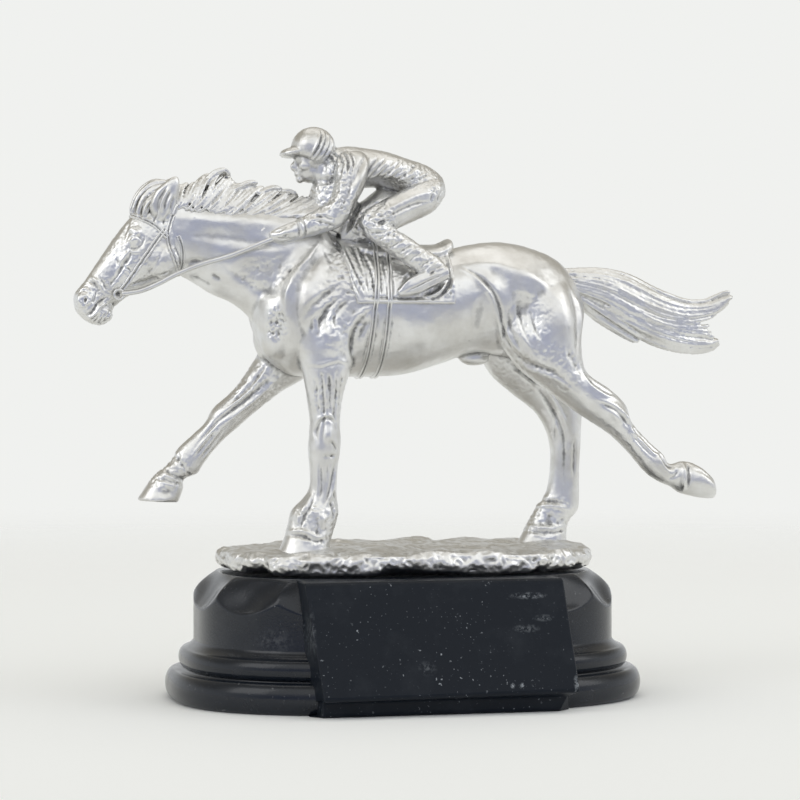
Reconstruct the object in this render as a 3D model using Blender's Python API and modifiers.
# Equestrian trophy: a cast silver horse and jockey on rocky ground, on a black moulded plinth.
# Millimetres in the values, metres in Blender; +Z up, the horse heads to -X, its left side faces -Y.
# The origin is the middle of the plinth's drum, on the underside.

import math

import bmesh
import bpy
import numpy as np
from mathutils import Matrix, Vector

MM = 0.001
COLLECTION_NAME = "equestrian_trophy"

# Plinth: two rounded mouldings, a drum with a scalloped shoulder, a sloped front panel
PLINTH_HEIGHT = 33.2
PLAN_POWER = 2.5
PLAN_POINTS = 56
FOOT_LENGTH = 125.2
FOOT_DEPTH = 89.0
FOOT_HEIGHT = 7.8
FOOT_ROUNDING = 2.2
COLLAR_LENGTH = 118.2
COLLAR_DEPTH = 83.0
COLLAR_HEIGHT = 5.6
COLLAR_ROUNDING = 1.7
DRUM_LENGTH = 110.4
DRUM_DEPTH = 76.0
SHOULDER_LENGTH = 98.6
SHOULDER_DEPTH = 67.0
SHOULDER_DROP = 6.2
SCALLOP_DROP = 2.4
SCALLOPS = 6
PANEL_WIDTH = 66.8
PANEL_TOP_REACH = 38.4
PANEL_BOTTOM_REACH = 49.5
PANEL_BOTTOM_HEIGHT = 5.6
PANEL_BASE_REACH = 45.0
PANEL_BASE_WIDTH = 66.0
PANEL_ROUNDING = 0.8
PANEL_ROOT = 20.0

# Silver casting: its length sets its scale, and it sits on the plinth with a hairline gap
FIGURE_LENGTH = 179.6
DRAWN_LENGTH = 179.6
DRAWN_SEAT = 33.5
SEAT_GAP = 0.3
CAST_VOXEL = 0.7
CAST_TRIANGLES = 7600
RING_POINTS = 20

# Rocky ground under the hooves, in drawn millimetres above the plinth's underside
GROUND_LENGTH = 100.0
GROUND_DEPTH = 58.0
GROUND_TOP = 39.4
GROUND_POINTS = 72
GROUND_POWER = 2.6

# Sections of the body: front or lower edge x, z, back or upper edge x, z, middle y, half width
BODY = [
    (-42.6, 93.0, -44.0, 101.5, 0, 4.5),
    (-40.0, 89.2, -41.5, 107.0, 0, 8.6),
    (-35.5, 86.0, -36.0, 114.0, 0, 11.6),
    (-29.0, 84.4, -29.0, 119.5, 0, 12.9),
    (-20.0, 84.2, -20.0, 120.5, 0, 13.2),
    (-10.0, 84.2, -10.0, 118.2, 0, 13.6),
    (0.0, 84.8, 0.0, 117.2, 0, 13.9),
    (10.0, 87.6, 9.5, 117.4, 0, 13.6),
    (18.0, 90.2, 17.5, 119.2, 0, 13.1),
    (26.0, 90.0, 26.0, 120.1, 0, 13.2),
    (34.0, 88.6, 34.5, 118.6, 0, 12.9),
    (41.5, 89.0, 42.0, 115.4, 0, 11.2),
    (46.5, 92.5, 46.5, 110.0, 0, 8.0),
    (49.0, 97.5, 49.0, 105.0, 0, 4.0),
]
NECK = [
    (-41.0, 88.0, -19.0, 121.5, 0, 11.5),
    (-43.2, 97.5, -25.0, 127.5, 0, 9.6),
    (-46.5, 102.6, -33.5, 130.2, 0, 7.6),
    (-51.5, 105.8, -43.0, 131.0, 0, 6.2),
    (-56.5, 108.8, -52.5, 131.8, 0, 5.4),
    (-60.2, 111.0, -60.8, 131.4, 0, 4.9),
    (-62.0, 114.0, -65.2, 129.6, 0, 4.2),
]
HEAD = [
    (-57.6, 116.8, -65.0, 129.6, 0, 4.4),
    (-59.4, 111.6, -71.0, 126.8, 0, 5.2),
    (-62.6, 109.6, -74.2, 123.4, 0, 5.4),
    (-67.0, 107.8, -77.0, 119.8, 0, 4.9),
    (-71.4, 106.0, -79.6, 116.0, 0, 4.2),
    (-75.2, 103.6, -82.4, 111.8, 0, 3.5),
    (-77.0, 101.6, -84.6, 108.6, 0, 3.3),
    (-77.4, 99.2, -87.0, 105.4, 0, 3.6),
    (-80.0, 97.6, -86.8, 101.8, 0, 3.3),
    (-82.4, 97.9, -85.2, 99.6, 0, 2.0),
]
NEAR_FORE = [
    (-36.0, 104.0, -14.0, 101.0, -5.5, 6.4),
    (-31.6, 94.0, -14.6, 92.0, -7.4, 6.3),
    (-29.0, 86.0, -16.3, 85.6, -8.8, 5.4),
    (-27.7, 78.0, -18.4, 79.0, -9, 4.5),
    (-26.9, 71.5, -19.0, 72.0, -9, 4.0),
    (-27.5, 65.8, -18.8, 66.6, -9, 4.1),
    (-27.0, 60.0, -19.6, 61.0, -9, 3.3),
    (-27.2, 55.5, -19.9, 55.5, -9, 3.0),
    (-29.0, 52.6, -19.7, 52.0, -9, 3.3),
    (-32.0, 49.6, -19.4, 49.2, -9.2, 4.0),
    (-33.0, 45.8, -20.6, 45.2, -9.5, 4.0),
    (-34.4, 41.4, -21.8, 41.6, -9.8, 4.6),
    (-36.6, 37.4, -22.2, 37.4, -10, 5.3),
]
FAR_FORE = [
    (-39.0, 100.0, -20.0, 94.0, 5.5, 6.2),
    (-37.2, 91.5, -24.0, 85.0, 7, 5.6),
    (-41.0, 84.9, -31.4, 80.2, 7.6, 4.6),
    (-44.7, 80.2, -38.0, 75.1, 8, 3.9),
    (-49.5, 76.0, -43.0, 70.8, 8, 3.7),
    (-51.6, 72.3, -46.3, 68.0, 8, 3.2),
    (-55.0, 69.0, -50.0, 64.0, 8, 2.8),
    (-58.6, 65.8, -52.4, 60.8, 8, 3.0),
    (-60.6, 62.6, -53.8, 58.7, 8, 3.1),
    (-62.6, 60.4, -57.4, 57.2, 8, 2.8),
    (-65.6, 58.0, -57.5, 54.8, 8, 3.5),
    (-69.9, 51.8, -58.9, 51.2, 8, 4.4),
]
NEAR_HIND = [
    (23.0, 106.0, 47.0, 110.0, -5.5, 8.0),
    (24.0, 95.0, 49.2, 101.0, -7.4, 7.6),
    (29.5, 86.5, 47.6, 92.0, -9, 6.6),
    (37.5, 80.0, 48.2, 85.4, -9.5, 5.3),
    (45.5, 74.4, 53.8, 81.2, -9.6, 4.3),
    (52.8, 69.8, 58.4, 77.0, -9.6, 3.9),
    (56.8, 66.6, 60.2, 72.2, -9.6, 3.3),
    (60.6, 62.6, 65.0, 67.0, -9.6, 2.9),
    (64.4, 58.4, 69.0, 63.6, -9.6, 2.9),
    (67.8, 56.2, 70.8, 60.8, -9.6, 2.9),
    (71.6, 54.5, 74.0, 61.6, -9.6, 3.1),
    (74.4, 52.8, 76.4, 61.4, -9.6, 3.6),
    (82.6, 51.4, 79.6, 60.0, -9.6, 4.3),
    (83.9, 53.2, 82.6, 57.4, -9.6, 2.9),
]
FAR_HIND = [
    (22.0, 104.0, 46.0, 110.0, 5.5, 8.0),
    (22.6, 93.0, 47.6, 98.0, 7.4, 7.6),
    (25.6, 85.6, 48.4, 87.4, 8, 6.4),
    (32.6, 79.4, 50.4, 80.4, 8.6, 5.0),
    (38.5, 75.0, 52.2, 75.4, 9, 4.1),
    (41.6, 70.5, 52.0, 70.5, 9, 3.7),
    (43.2, 65.0, 51.8, 65.0, 9, 3.2),
    (43.1, 58.0, 51.5, 58.0, 9, 2.9),
    (42.0, 52.6, 51.5, 52.2, 9, 3.0),
    (39.4, 48.8, 51.1, 48.0, 9, 3.4),
    (37.2, 45.2, 48.4, 44.8, 9, 3.4),
    (35.6, 42.0, 47.8, 41.8, 9, 4.2),
    (33.2, 37.8, 48.0, 37.8, 9, 4.8),
]
TAIL = [
    (45.0, 107.5, 43.5, 113.6, 0, 3.0),
    (49.0, 105.4, 50.0, 114.0, 0, 3.5),
    (54.0, 102.0, 58.0, 113.2, 0, 3.8),
    (60.5, 98.4, 65.0, 111.0, 0, 3.8),
    (67.5, 97.0, 71.5, 107.6, 0, 3.3),
    (73.0, 95.8, 76.5, 104.6, 0, 2.6),
]
MANE = [
    (-61.4, 126.6, -62.0, 133.0, 0, 2.4),
    (-54.0, 125.6, -52.0, 136.2, 0, 3.4),
    (-45.0, 124.8, -42.5, 134.8, 0, 3.9),
    (-35.0, 124.4, -33.5, 133.0, 0, 4.4),
    (-26.0, 123.0, -25.0, 131.8, 0, 4.8),
    (-18.0, 119.0, -17.0, 131.0, 0, 4.6),
    (-13.0, 117.0, -12.6, 126.0, 0, 3.6),
]
RIDER_TRUNK = [
    (9.6, 129.6, 11.6, 134.6, 0, 4.2),
    (4.6, 128.6, 9.4, 138.2, 0, 7.0),
    (0.2, 131.4, 4.2, 141.6, 0, 7.4),
    (-5.0, 134.2, -3.0, 143.6, 0, 7.2),
    (-10.0, 134.2, -9.4, 144.4, 0, 7.8),
    (-15.4, 132.6, -15.0, 144.8, 0, 8.6),
    (-19.8, 132.8, -18.6, 144.2, 0, 6.2),
    (-23.2, 134.4, -20.4, 142.8, 0, 4.0),
]
RIDER_HEAD = [
    (-25.6, 134.8, -27.6, 135.6, 0, 1.8),
    (-23.4, 136.6, -29.0, 138.2, 0, 3.0),
    (-20.8, 140.2, -30.4, 142.6, 0, 4.1),
    (-19.9, 143.2, -30.8, 144.8, 0, 4.5),
    (-20.8, 147.0, -29.6, 147.6, 0, 3.9),
    (-23.4, 149.8, -26.8, 149.9, 0, 1.9),
]

# Jacket hem and saddle front between the rider's thighs
RIDER_LAP = [
    (1.0, 118.0, -1.0, 134.6, 0, 5.0),
    (-4.0, 117.5, -6.0, 134.2, 0, 5.6),
    (-8.0, 117.5, -10.4, 131.4, 0, 5.6),
    (-12.0, 117.5, -14.0, 128.4, 0, 5.2),
    (-17.0, 118.0, -18.6, 124.0, 0, 4.2),
]

# One side of the rider: drawn for the right hand side, mirrored for the left
RIDER_ARM = [
    (-19.4, 141.0, -11.0, 141.6, 6.6, 3.4),
    (-20.0, 136.4, -11.4, 136.0, 8.2, 3.6),
    (-21.4, 130.8, -14.6, 129.6, 9.0, 3.4),
    (-23.6, 128.6, -18.0, 123.8, 9.2, 3.1),
    (-27.6, 126.4, -24.0, 121.4, 9.4, 2.8),
    (-31.6, 124.4, -30.0, 119.8, 9.2, 2.4),
    (-35.4, 122.8, -34.6, 118.8, 8.8, 2.3),
    (-37.6, 121.6, -37.4, 119.6, 8.4, 1.4),
]
RIDER_THIGH = [
    (7.0, 128.6, 9.8, 137.2, 4.8, 4.4),
    (0.6, 126.4, 0.0, 135.0, 6.8, 4.5),
    (-5.6, 122.8, -8.4, 130.0, 9.4, 4.1),
    (-10.4, 121.0, -13.8, 126.8, 11.2, 3.5),
    (-13.6, 121.2, -14.6, 123.6, 11.6, 2.0),
]
RIDER_SHIN = [
    (-14.4, 122.0, -6.2, 124.4, 11.4, 3.2),
    (-11.6, 117.6, -2.4, 121.6, 12.6, 3.2),
    (-6.0, 112.8, 2.6, 117.2, 13.8, 2.8),
    (-0.4, 108.6, 7.0, 113.2, 14.8, 2.6),
    (3.4, 106.8, 8.8, 109.8, 15.2, 2.4),
]
RIDER_BOOT = [
    (8.8, 108.0, 9.0, 112.8, 15.2, 2.2),
    (4.6, 105.6, 5.0, 112.8, 15.3, 2.4),
    (-1.0, 104.4, -0.6, 109.2, 15.8, 2.3),
    (-4.4, 104.2, -4.4, 106.6, 16.0, 1.4),
]
EAR = [
    (-66.4, 126.6, -61.4, 126.8, 3.0, 1.6),
    (-66.6, 130.0, -61.0, 130.2, 3.4, 1.6),
    (-65.4, 133.4, -61.2, 133.8, 3.8, 1.1),
    (-63.4, 135.8, -62.0, 136.0, 4.0, 0.5),
]

# Saddle, cloth and girth
SADDLE = [
    (-22.0, 117.0, -21.0, 121.6, 0, 4.6),
    (-12.0, 114.0, -12.0, 119.8, 0, 8.4),
    (0.0, 113.0, 0.0, 119.4, 0, 9.4),
    (7.0, 113.6, 7.6, 120.4, 0, 8.8),
    (10.4, 115.0, 11.4, 120.6, 0, 6.6),
]
CLOTH_PROUD = 1.0
CLOTH_FRONT_TOP = -20.4
CLOTH_FRONT_BOTTOM = -15.4
CLOTH_BACK = 10.8
CLOTH_BOTTOM = 103.2
CLOTH_TOP = 124.0
GIRTH_PROUD = 0.7
GIRTH_FRONT = -12.6
GIRTH_BACK = -8.4

# Muscles and joints that stand out of the sections: x, y, z, then radii along x, y, z
SWELLS = [
    (-30.0, 8.2, 104.0, 6.0, 5.2, 11.0),
    (-21.0, 9.2, 95.5, 7.0, 5.2, 7.4),
    (-39.0, 4.6, 94.0, 4.4, 5.0, 6.4),
    (29.0, 8.6, 108.5, 9.0, 5.6, 9.0),
    (40.0, 7.6, 102.0, 8.0, 5.4, 11.0),
    (-65.4, 4.2, 113.6, 4.6, 1.8, 4.4),
    (-71.4, 4.2, 119.4, 1.9, 1.3, 1.5),
    (-84.6, 2.6, 103.6, 2.0, 1.6, 2.2),
]

# Grooves carved in both sides, drawn as x, z points with a depth and a half width in front
GROOVES = [
    (1.1, 1.9, [(-25.5, 115.5), (-29.8, 106.5), (-30.2, 95.6)]),
    (1.0, 2.4, [(-36.5, 101.0), (-36.0, 95.5)]),
    (0.9, 1.5, [(-21.7, 106.9), (-28.2, 100.2)]),
    (0.8, 1.4, [(-19.0, 101.5), (-21.6, 96.3)]),
    (0.8, 1.4, [(-12.0, 101.5), (-15.9, 95.5), (-15.6, 90.5)]),
    (0.8, 1.5, [(14.5, 112.5), (20.0, 107.5), (23.4, 101.0), (24.4, 93.5)]),
    (1.1, 3.0, [(24.0, 112.4), (31.3, 106.0), (37.6, 95.5)]),
    (0.8, 1.5, [(28.7, 102.2), (31.3, 93.0)]),
    (0.7, 1.3, [(25.4, 99.5), (26.9, 91.7)]),
    (0.6, 1.2, [(26.3, 91.0), (32.9, 85.4), (37.7, 83.3)]),
    (0.7, 1.6, [(43.6, 104.8), (43.9, 90.0)]),
    (0.6, 1.1, [(-75.8, 110.3), (-67.5, 118.3)]),
    (0.9, 1.3, [(-59.6, 118.5), (-58.8, 112.0)]),
    (0.5, 0.9, [(-84.4, 99.8), (-80.4, 103.4), (-77.8, 105.2)]),
    (0.5, 1.2, [(-23.2, 80.0), (-23.0, 58.0)]),
    (0.5, 1.2, [(-34.0, 81.0), (-54.0, 62.0)]),
    (0.5, 1.2, [(47.6, 72.0), (47.4, 54.0)]),
    (0.5, 1.1, [(52.0, 76.0), (66.6, 60.6)]),
    (0.7, 1.2, [(-12.6, 142.6), (-16.0, 138.0), (-16.6, 133.0)]),
    (0.7, 1.2, [(-7.4, 142.4), (-11.6, 137.4)]),
    (0.7, 1.2, [(-1.4, 141.2), (-6.6, 136.6)]),
    (0.6, 1.2, [(4.4, 139.4), (-0.6, 136.4)]),
    (0.6, 1.1, [(-20.0, 129.8), (-16.8, 126.6)]),
    (0.6, 1.1, [(-25.4, 126.8), (-22.4, 123.6)]),
    (0.6, 1.1, [(6.0, 133.0), (0.6, 130.4), (-5.0, 126.6)]),
    (0.6, 1.0, [(-4.6, 121.6), (-9.6, 119.4)]),
    (0.6, 1.0, [(0.4, 117.4), (-5.4, 114.8)]),
    (0.7, 0.9, [(-23.6, 135.4), (-20.6, 140.0), (-20.0, 143.6)]),
    (0.5, 0.7, [(-26.6, 141.4), (-22.4, 148.4)]),
]

# Locks: root x, y, z, then tip x, y, z; each bows along its way by the given share
MANE_LOCKS = [
    ((-63.0, 1.4, 129.0), (-56.0, 0.4, 135.4)),
    ((-60.0, -1.6, 129.0), (-48.4, -1.4, 138.6)),
    ((-57.0, 1.6, 128.6), (-44.8, 0.8, 137.6)),
    ((-53.0, -2.4, 127.5), (-41.0, -2.6, 134.6)),
    ((-48.0, 1.8, 128.0), (-37.4, 1.4, 135.2)),
    ((-44.0, -2.8, 127.0), (-31.6, -3.0, 134.2)),
    ((-39.0, 2.0, 127.0), (-28.0, 1.4, 133.6)),
    ((-35.0, -3.2, 126.5), (-22.0, -4.0, 132.6)),
]
MANE_RADIUS = 2.9
FORELOCK = [
    ((-64.0, 0.4, 131.0), (-70.6, 1.2, 128.6)),
    ((-63.4, 2.2, 131.4), (-70.2, 3.0, 130.6)),
]
FORELOCK_RADIUS = 2.1
TAIL_LOCKS = [
    ((62.0, 0.0, 110.0), (93.0, -0.6, 106.8)),
    ((62.0, 1.4, 107.0), (91.4, 1.8, 103.4)),
    ((62.0, -1.6, 104.0), (88.4, -2.0, 100.0)),
    ((60.0, 1.6, 101.5), (84.8, 1.8, 97.4)),
    ((60.0, -0.8, 100.5), (89.8, -1.2, 93.6)),
    ((60.0, 1.0, 99.0), (84.0, 0.8, 91.9)),
    ((51.0, -1.0, 104.0), (66.4, -1.8, 93.8)),
]
TAIL_RADIUS = 3.3
LOCK_TIP = 0.34
LOCK_BOW = 0.07
LOCK_STEPS = 7
REIN = [(-75.4, 4.0, 105.6), (-67.0, 5.4, 107.6), (-59.0, 6.2, 111.0), (-47.0, 7.6, 115.4), (-36.6, 9.2, 119.6)]
REIN_RADIUS = 0.75
SHEATH = (18.5, 0.0, 88.6, 4.2, 2.6, 2.6)
HELMET_PEAK = (-30.4, 0.0, 142.6, 3.4, 3.9, 0.9)
HELMET_TILT = 12.0


def clear_scene():
    for item in list(bpy.data.objects):
        bpy.data.objects.remove(item, do_unlink=True)


def make_collection():
    parts = bpy.data.collections.new(COLLECTION_NAME)
    bpy.context.scene.collection.children.link(parts)
    return parts


def make_material(name, colour, metallic, roughness):
    material = bpy.data.materials.new(name)
    material.use_nodes = True
    shader = material.node_tree.nodes["Principled BSDF"]
    shader.inputs["Base Color"].default_value = (*colour, 1.0)
    shader.inputs["Metallic"].default_value = metallic
    shader.inputs["Roughness"].default_value = roughness
    return material


def make_object(name, bm, parts, material):
    bmesh.ops.recalc_face_normals(bm, faces=bm.faces[:])
    mesh = bpy.data.meshes.new(name)
    bm.to_mesh(mesh)
    bm.free()
    mesh.materials.append(material)
    item = bpy.data.objects.new(name, mesh)
    parts.objects.link(item)
    return item


# Shared shapes


def add_loft(bm, rings):
    """Skin a list of closed rings, all with the same number of points, and cap both ends."""
    rows = [[bm.verts.new(point) for point in ring] for ring in rings]
    count = len(rows[0])
    for lower, upper in zip(rows, rows[1:]):
        for i in range(count):
            j = (i + 1) % count
            bm.faces.new((lower[i], lower[j], upper[j], upper[i]))
    bm.faces.new(list(reversed(rows[0])))
    bm.faces.new(rows[-1])


def spline(values, at):
    """A smooth curve through evenly spaced values, read at a place from 0 to 1."""
    last = len(values) - 1
    place = min(max(at, 0.0), 1.0) * last
    i = min(int(place), last - 1)
    t = place - i
    before = values[max(i - 1, 0)]
    start = values[i]
    end = values[i + 1]
    after = values[min(i + 2, last)]
    return [
        0.5 * (2 * b + (c - a) * t + (2 * a - 5 * b + 4 * c - d) * t * t
               + (3 * b - a - 3 * c + d) * t ** 3)
        for a, b, c, d in zip(before, start, end, after)
    ]


def section_ring(section, mirror=1.0, proud=0.0):
    """An oval between the two edge points of a drawn section."""
    low_x, low_z, high_x, high_z, mid_y, half_width = section
    low = Vector((low_x, mid_y * mirror, low_z))
    high = Vector((high_x, mid_y * mirror, high_z))
    middle = (low + high) / 2
    reach = (high - low) / 2
    reach += reach.normalized() * proud
    side = Vector((0.0, half_width + proud, 0.0))
    ring = []
    for i in range(RING_POINTS):
        angle = 2 * math.pi * i / RING_POINTS
        ring.append(middle + reach * math.cos(angle) + side * math.sin(angle))
    return ring


def add_limb(bm, sections, mirror=1.0, proud=0.0):
    """Loft a limb through its drawn sections, two rings to each stretch."""
    steps = 2 * (len(sections) - 1)
    rings = [
        section_ring(spline(sections, i / steps), mirror, proud) for i in range(steps + 1)
    ]
    add_loft(bm, rings)


def add_swell(bm, place, mirror=1.0, tilt=0.0):
    """A muscle, joint or peak as an oval ball."""
    x, y, z, radius_x, radius_y, radius_z = place
    matrix = Matrix.Translation((x, y * mirror, z))
    matrix @= Matrix.Rotation(math.radians(tilt), 4, "Y")
    matrix @= Matrix.Diagonal((radius_x, radius_y, radius_z, 1.0))
    bmesh.ops.create_uvsphere(bm, u_segments=16, v_segments=10, radius=1.0, matrix=matrix)


def add_lock(bm, root, tip, radius, bow):
    """A lock of hair: a tapered, bowed tube from root to tip."""
    start = Vector(root)
    end = Vector(tip)
    way = end - start
    across = Vector((0.0, 1.0, 0.0))
    rise = way.cross(across).normalized()
    if rise.z < 0:
        rise.negate()
    rings = []
    for i in range(LOCK_STEPS + 1):
        t = i / LOCK_STEPS
        wave = math.sin(math.pi * 2 * t) * bow * way.length
        middle = start + way * t + rise * wave
        size = radius * (LOCK_TIP + (1 - LOCK_TIP) * math.cos(math.pi / 2 * t) ** 0.7)
        ring = []
        for k in range(10):
            angle = 2 * math.pi * k / 10
            ring.append(middle + rise * size * math.cos(angle) + across * 0.75 * size * math.sin(angle))
        rings.append(ring)
    add_loft(bm, rings)


def add_strap(bm, points, radius, mirror=1.0):
    """A strap as a slim tube through its points."""
    steps = 3 * (len(points) - 1)
    path = [Vector(spline(points, i / steps)) for i in range(steps + 1)]
    rings = []
    for i, place in enumerate(path):
        way = path[min(i + 1, steps)] - path[max(i - 1, 0)]
        across = way.cross(Vector((0.0, 1.0, 0.0))).normalized()
        ring = []
        for k in range(8):
            angle = 2 * math.pi * k / 8
            offset = across * math.cos(angle) + Vector((0.0, math.sin(angle), 0.0))
            point = place + offset * radius
            ring.append(Vector((point.x, point.y * mirror, point.z)))
        rings.append(ring)
    add_loft(bm, rings)


def superellipse(half_length, half_depth, power, angle):
    cosine = math.cos(angle)
    sine = math.sin(angle)
    x = half_length * math.copysign(abs(cosine) ** (2 / power), cosine)
    y = half_depth * math.copysign(abs(sine) ** (2 / power), sine)
    return x, y


# Plinth


def moulding_rows(length, depth, low, high, rounding, steps=5):
    """Rows of a rounded moulding: half length, half depth and height."""
    rows = []
    for i in range(steps + 1):
        angle = math.pi * (i / steps - 0.5)
        inset = rounding * (1 - math.cos(angle))
        height = (low + high) / 2 + (high - low) / 2 * math.sin(angle)
        rows.append((length / 2 - inset, depth / 2 - inset, height))
    return rows


def plinth_rings():
    collar_top = FOOT_HEIGHT + COLLAR_HEIGHT
    rows = moulding_rows(FOOT_LENGTH, FOOT_DEPTH, 0.0, FOOT_HEIGHT, FOOT_ROUNDING)
    rows += moulding_rows(
        COLLAR_LENGTH, COLLAR_DEPTH, FOOT_HEIGHT + 0.2, collar_top, COLLAR_ROUNDING)
    rows.append((DRUM_LENGTH / 2, DRUM_DEPTH / 2, collar_top + 0.5))
    rings = []
    for half_length, half_depth, height in rows:
        ring = []
        for i in range(PLAN_POINTS):
            angle = 2 * math.pi * i / PLAN_POINTS
            x, y = superellipse(half_length, half_depth, PLAN_POWER, angle)
            ring.append(Vector((x, y, height)))
        rings.append(ring)
    # The drum's shoulder starts on a scalloped line and slopes in to the flat top
    for share in (0.0, 0.5, 0.85, 1.0):
        ring = []
        for i in range(PLAN_POINTS):
            angle = 2 * math.pi * i / PLAN_POINTS
            drop = SHOULDER_DROP - SCALLOP_DROP * math.cos(SCALLOPS * angle)
            height = PLINTH_HEIGHT - drop * (1 - share)
            inward = share ** 1.5
            half_length = DRUM_LENGTH / 2 + (SHOULDER_LENGTH - DRUM_LENGTH) / 2 * inward
            half_depth = DRUM_DEPTH / 2 + (SHOULDER_DEPTH - DRUM_DEPTH) / 2 * inward
            x, y = superellipse(half_length, half_depth, PLAN_POWER, angle)
            ring.append(Vector((x, y, height)))
        rings.append(ring)
    return rings


def panel_profile():
    """Outline of the sloped front panel and the block below it, as y, z and half width."""
    wide = PANEL_WIDTH / 2
    narrow = PANEL_BASE_WIDTH / 2
    slope_y = PANEL_BOTTOM_REACH - PANEL_TOP_REACH
    slope_z = PLINTH_HEIGHT - PANEL_BOTTOM_HEIGHT
    return [
        (-PANEL_ROOT, 0.0, narrow),
        (-PANEL_BASE_REACH, 0.0, narrow),
        (-PANEL_BOTTOM_REACH + PANEL_ROUNDING, PANEL_BOTTOM_HEIGHT - PANEL_ROUNDING, wide - 0.4),
        (-PANEL_BOTTOM_REACH, PANEL_BOTTOM_HEIGHT, wide),
        (-PANEL_TOP_REACH - slope_y / slope_z * PANEL_ROUNDING, PLINTH_HEIGHT - PANEL_ROUNDING, wide),
        (-PANEL_TOP_REACH + PANEL_ROUNDING, PLINTH_HEIGHT, wide),
        (-PANEL_ROOT, PLINTH_HEIGHT, wide),
    ]


def build_plinth(parts, cutters, material):
    bm = bmesh.new()
    add_loft(bm, plinth_rings())
    bmesh.ops.scale(bm, vec=(MM, MM, MM), verts=bm.verts[:])
    plinth = make_object("plinth", bm, parts, material)
    bm = bmesh.new()
    rings = [
        [Vector((side * half_width, y, z)) for y, z, half_width in panel_profile()]
        for side in (-1, 1)
    ]
    add_loft(bm, rings)
    bmesh.ops.scale(bm, vec=(MM, MM, MM), verts=bm.verts[:])
    panel = make_object("plinth_panel_shape", bm, cutters, material)
    panel.hide_render = True
    panel.display_type = "WIRE"
    join = plinth.modifiers.new("panel", "BOOLEAN")
    join.operation = "UNION"
    join.object = panel
    return plinth


# Silver casting


def add_ground(bm):
    """Rocky ground with a ragged rim and gentle lumps."""
    def rim(angle):
        return 1.0 + 0.016 * math.sin(5 * angle + 0.6) + 0.012 * math.sin(11 * angle + 1.9) \
            + 0.008 * math.sin(19 * angle)

    def lump(x, y):
        return 0.55 * math.sin(0.16 * x + 0.5) * math.cos(0.21 * y) + 0.4 * math.sin(0.37 * x - 0.3 * y)

    rows = [
        (0.965, DRAWN_SEAT - 1.0),
        (0.975, DRAWN_SEAT + 1.4),
        (1.0, DRAWN_SEAT + 3.0),
        (0.985, GROUND_TOP - 1.2),
        (0.93, GROUND_TOP - 0.1),
        (0.72, GROUND_TOP + 0.3),
        (0.4, GROUND_TOP + 0.5),
        (0.1, GROUND_TOP + 0.4),
    ]
    rings = []
    for share, height in rows:
        ring = []
        for i in range(GROUND_POINTS):
            angle = 2 * math.pi * i / GROUND_POINTS
            x, y = superellipse(GROUND_LENGTH / 2, GROUND_DEPTH / 2, GROUND_POWER, angle)
            reach = share * rim(angle)
            raised = lump(x * reach, y * reach) if height > GROUND_TOP - 0.5 else 0.0
            ring.append(Vector((x * reach + 0.8, y * reach, height + raised)))
        rings.append(ring)
    add_loft(bm, rings)


def build_cloth(proud, front_top, front_bottom, back_top, back_bottom, bottom):
    """A band of the body's surface, standing proud of it, cut to a side outline."""
    shell = bmesh.new()
    add_limb(shell, BODY, proud=proud)
    cuts = [
        ((front_bottom, 0, bottom), Vector((CLOTH_TOP - bottom, 0, front_bottom - front_top))),
        ((back_bottom, 0, bottom), Vector((bottom - CLOTH_TOP, 0, back_top - back_bottom))),
        ((0, 0, bottom), Vector((0, 0, 1))),
    ]
    for place, inward in cuts:
        cut = bmesh.ops.bisect_plane(
            shell, geom=shell.verts[:] + shell.edges[:] + shell.faces[:],
            plane_co=place, plane_no=-inward.normalized(), clear_outer=True)
        rim = [item for item in cut["geom_cut"] if isinstance(item, bmesh.types.BMEdge)]
        bmesh.ops.contextual_create(shell, geom=rim)
    return shell


def add_bmesh(target, source):
    mesh = bpy.data.meshes.new("joined_shape")
    source.to_mesh(mesh)
    source.free()
    target.from_mesh(mesh)
    bpy.data.meshes.remove(mesh)


def add_horse(bm):
    for sections in (BODY, NECK, HEAD, MANE, NEAR_FORE, FAR_FORE, NEAR_HIND, FAR_HIND, TAIL):
        add_limb(bm, sections)
    for mirror in (-1.0, 1.0):
        add_limb(bm, EAR, mirror)
        for place in SWELLS:
            add_swell(bm, place, mirror)
    add_swell(bm, SHEATH)
    for root, tip in MANE_LOCKS:
        add_lock(bm, root, tip, MANE_RADIUS, LOCK_BOW)
    for root, tip in FORELOCK:
        add_lock(bm, root, tip, FORELOCK_RADIUS, LOCK_BOW)
    for root, tip in TAIL_LOCKS:
        add_lock(bm, root, tip, TAIL_RADIUS, LOCK_BOW / 2)


def add_tack(bm):
    for mirror in (-1.0, 1.0):
        add_strap(bm, REIN, REIN_RADIUS, mirror)
    add_limb(bm, SADDLE)
    add_bmesh(bm, build_cloth(
        CLOTH_PROUD, CLOTH_FRONT_TOP, CLOTH_FRONT_BOTTOM, CLOTH_BACK, CLOTH_BACK, CLOTH_BOTTOM))
    add_bmesh(bm, build_cloth(
        GIRTH_PROUD, GIRTH_FRONT, GIRTH_FRONT, GIRTH_BACK, GIRTH_BACK, DRAWN_SEAT))


def add_rider(bm):
    add_limb(bm, RIDER_TRUNK)
    add_limb(bm, RIDER_LAP)
    add_limb(bm, RIDER_HEAD)
    add_swell(bm, HELMET_PEAK, tilt=-HELMET_TILT)
    for mirror in (-1.0, 1.0):
        for sections in (RIDER_ARM, RIDER_THIGH, RIDER_SHIN, RIDER_BOOT):
            add_limb(bm, sections, mirror)


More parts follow.
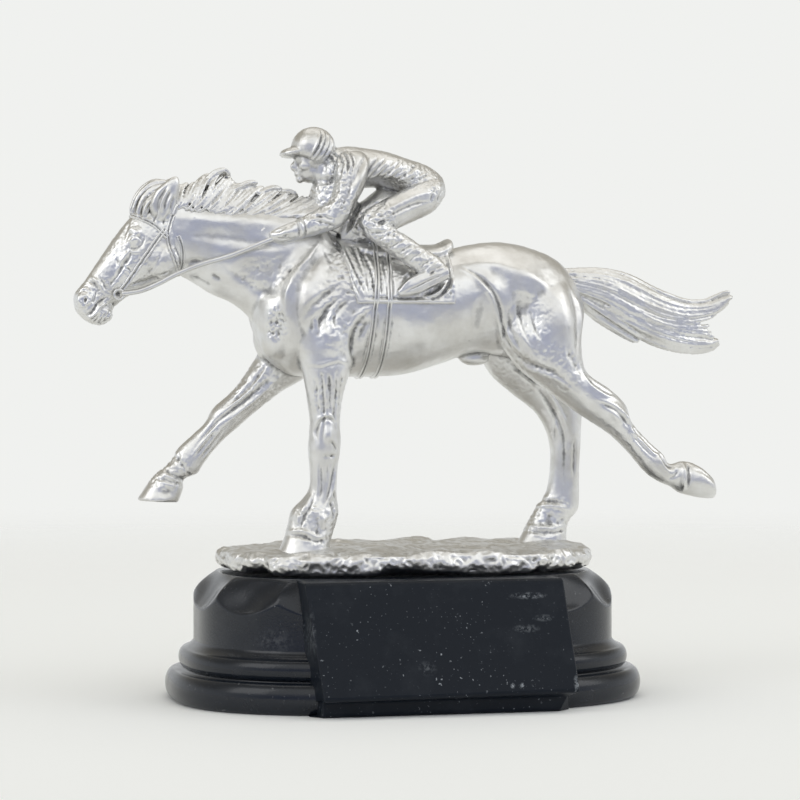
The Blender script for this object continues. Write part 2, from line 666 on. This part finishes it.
def groove_depths(points, normals):
    """How far each point of the skin sinks: deepest on a groove's line, none past its width."""
    sunk = np.zeros(len(points))
    facing = np.clip(np.abs(normals[:, 1]) * 1.6, 0.0, 1.0)
    for depth, width, line in GROOVES:
        nearest = np.full(len(points), 1e9)
        for start, end in zip(line, line[1:]):
            start = np.array(start)
            way = np.array(end) - start
            offset = points[:, [0, 2]] - start
            along = np.clip(offset @ way / (way @ way), 0.0, 1.0)
            gap = np.linalg.norm(offset - along[:, None] * way, axis=1)
            nearest = np.minimum(nearest, gap)
        near = np.clip(1.0 - (nearest / width) ** 2, 0.0, 1.0)
        sunk = np.maximum(sunk, depth * near ** 1.5)
    return sunk * facing


def carve(mesh, scale, seat):
    """Sink the drawn grooves into the fused skin."""
    count = len(mesh.vertices)
    places = np.empty(count * 3)
    normals = np.empty(count * 3)
    mesh.vertices.foreach_get("co", places)
    mesh.vertex_normals.foreach_get("vector", normals)
    places = places.reshape(-1, 3)
    normals = normals.reshape(-1, 3)
    drawn = (places - (0.0, 0.0, seat)) / scale + (0.0, 0.0, DRAWN_SEAT)
    sunk = groove_depths(drawn, normals) * scale
    mesh.vertices.foreach_set("co", (places - normals * sunk[:, None]).ravel())
    mesh.update()


def fuse(item, scale, seat):
    """Fuse overlapping shapes into one skin, carve it, then thin it."""
    remesh = item.modifiers.new("fuse", "REMESH")
    remesh.mode = "VOXEL"
    remesh.voxel_size = CAST_VOXEL * scale
    smooth = item.modifiers.new("soften", "SMOOTH")
    smooth.factor = 0.5
    smooth.iterations = 2
    evaluated = item.evaluated_get(bpy.context.evaluated_depsgraph_get())
    skin = bpy.data.meshes.new_from_object(evaluated)
    item.modifiers.clear()
    carve(skin, scale, seat)
    item.data = skin
    thin = item.modifiers.new("thin", "DECIMATE")
    thin.ratio = CAST_TRIANGLES / (2 * len(skin.polygons))
    thin.use_collapse_triangulate = True
    evaluated = item.evaluated_get(bpy.context.evaluated_depsgraph_get())
    skin = bpy.data.meshes.new_from_object(evaluated)
    item.modifiers.clear()
    item.data = skin


def cut_seat(item, height):
    """Cut the casting flat where it sits on the plinth."""
    bm = bmesh.new()
    bm.from_mesh(item.data)
    cut = bmesh.ops.bisect_plane(
        bm, geom=bm.verts[:] + bm.edges[:] + bm.faces[:], dist=1e-7,
        plane_co=(0, 0, height), plane_no=(0, 0, -1), clear_outer=True)
    rim = [entry for entry in cut["geom_cut"] if isinstance(entry, bmesh.types.BMEdge)]
    bmesh.ops.contextual_create(bm, geom=rim)
    bmesh.ops.triangulate(bm, faces=bm.faces[:])
    bm.to_mesh(item.data)
    bm.free()


def build_casting(parts, material):
    bm = bmesh.new()
    add_ground(bm)
    add_horse(bm)
    add_tack(bm)
    add_rider(bm)
    scale = FIGURE_LENGTH / DRAWN_LENGTH * MM
    seat = (PLINTH_HEIGHT + SEAT_GAP) * MM
    bmesh.ops.translate(bm, vec=(0, 0, -DRAWN_SEAT), verts=bm.verts[:])
    bmesh.ops.scale(bm, vec=(scale, scale, scale), verts=bm.verts[:])
    bmesh.ops.translate(bm, vec=(0, 0, seat), verts=bm.verts[:])
    casting = make_object("horse_and_jockey", bm, parts, material)
    fuse(casting, scale, seat)
    cut_seat(casting, seat)
    return casting


def main():
    clear_scene()
    parts = make_collection()
    cutters = bpy.data.collections.new("cutters")
    bpy.context.scene.collection.children.link(cutters)
    silver = make_material("silver_cast", (0.78, 0.79, 0.81), 1.0, 0.28)
    black = make_material("black_lacquer", (0.012, 0.014, 0.018), 0.0, 0.18)
    build_plinth(parts, cutters, black)
    build_casting(parts, silver)


main()
